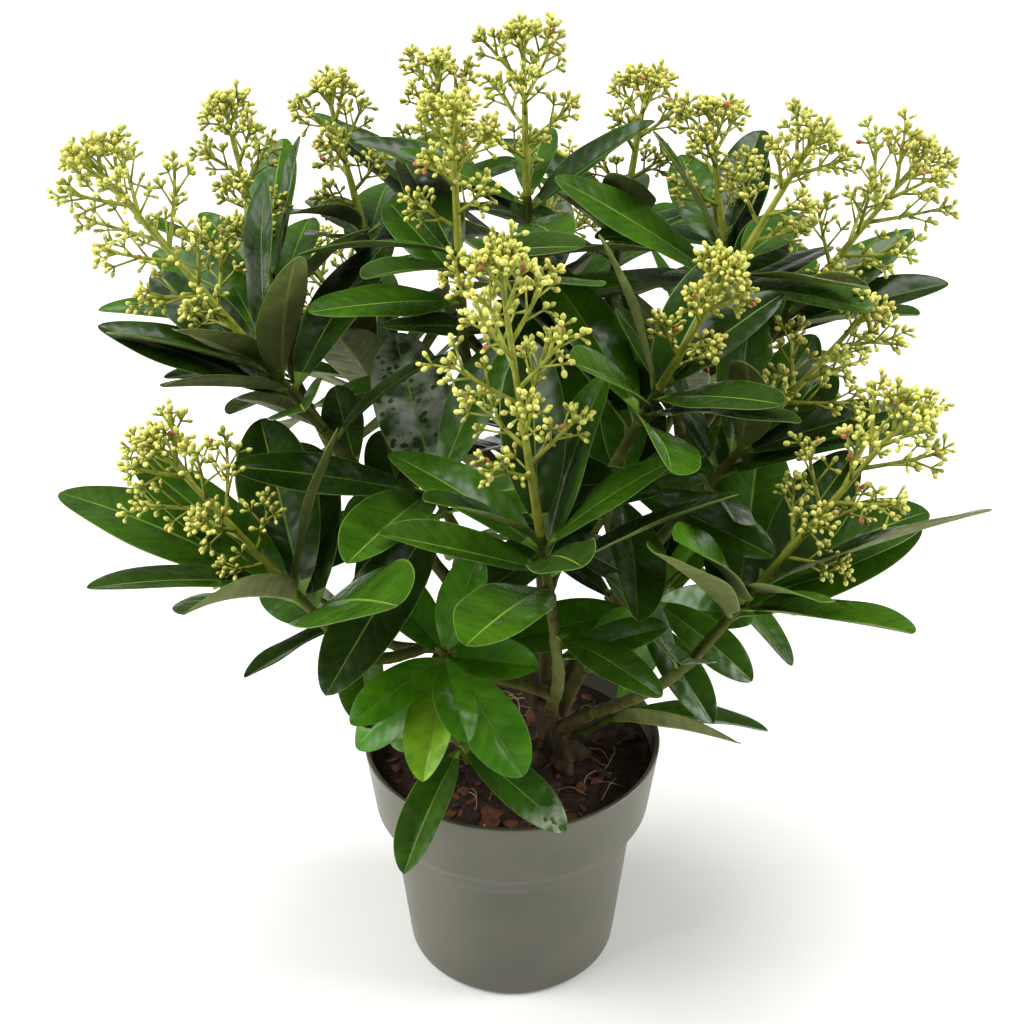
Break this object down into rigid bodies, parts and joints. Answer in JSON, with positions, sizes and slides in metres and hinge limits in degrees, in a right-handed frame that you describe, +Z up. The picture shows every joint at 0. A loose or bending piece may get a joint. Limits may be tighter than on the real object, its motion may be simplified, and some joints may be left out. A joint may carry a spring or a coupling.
{
  "type": "potted skimmia shrub",
  "caption": "Compact evergreen shrub in a round tapered nursery pot: woody foot, long stems, whorls of leathery leaves and upright heads of closed flower buds.",
  "frame": {"origin": "the middle of the pot's flat underside", "axes": "+Z up along the pot's axis; +Y towards the back of the plant; +X towards its right side, seen from the front"},
  "size_m": [0.3513, 0.342, 0.4107],
  "materials": {
    "pot": "satin",
    "soil": "matte",
    "bark": "matte",
    "stem": "satin",
    "leaf": "satin",
    "young_leaf": "satin"
  },
  "bodies": {
    "root": {"pot": "pot", "soil": "soil", "trunk": "bark", "bough_front": "stem", "bough_right": "stem", "bough_left": "stem", "bough_top": "stem", "bough_rear_right": "stem", "bough_back": "stem", "bough_right_low": "stem", "bough_right_inner": "stem", "bough_right_high": "stem", "bough_right_upper": "stem", "bough_rear_inner": "stem", "bough_left_low": "stem", "bough_left_rear": "stem", "bough_left_side": "stem", "bough_upper": "stem", "bough_rear": "stem", "bough_rear_left": "stem", "bough_back_left": "stem", "bough_back_right": "stem", "bough_front_low": "stem", "bough_skirt": "stem", "bough_skirt_right": "stem", "bough_right_leafy": "stem", "bough_left_leafy": "stem", "bough_side_low": "stem", "bough_back_low": "stem", "bough_middle_left": "stem", "bough_middle_right": "stem", "mass_front": "leaf", "mass_right": "leaf", "mass_left": "leaf", "mass_top": "leaf", "mass_rear_right": "leaf", "mass_back": "leaf", "mass_right_low": "leaf", "mass_right_inner": "leaf", "mass_right_high": "leaf", "mass_right_upper": "leaf", "mass_rear_inner": "leaf", "mass_left_low": "leaf", "mass_left_rear": "leaf", "mass_left_side": "leaf", "mass_upper": "leaf", "mass_rear": "leaf", "mass_rear_left": "leaf", "mass_back_left": "leaf", "mass_back_right": "leaf", "mass_front_low": "young_leaf", "mass_skirt": "leaf", "mass_skirt_right": "leaf", "mass_right_leafy": "leaf", "mass_left_leafy": "leaf", "mass_side_low": "leaf", "mass_back_low": "leaf", "mass_middle_left": "leaf", "mass_middle_right": "leaf"}
  },
  "joints": []
}
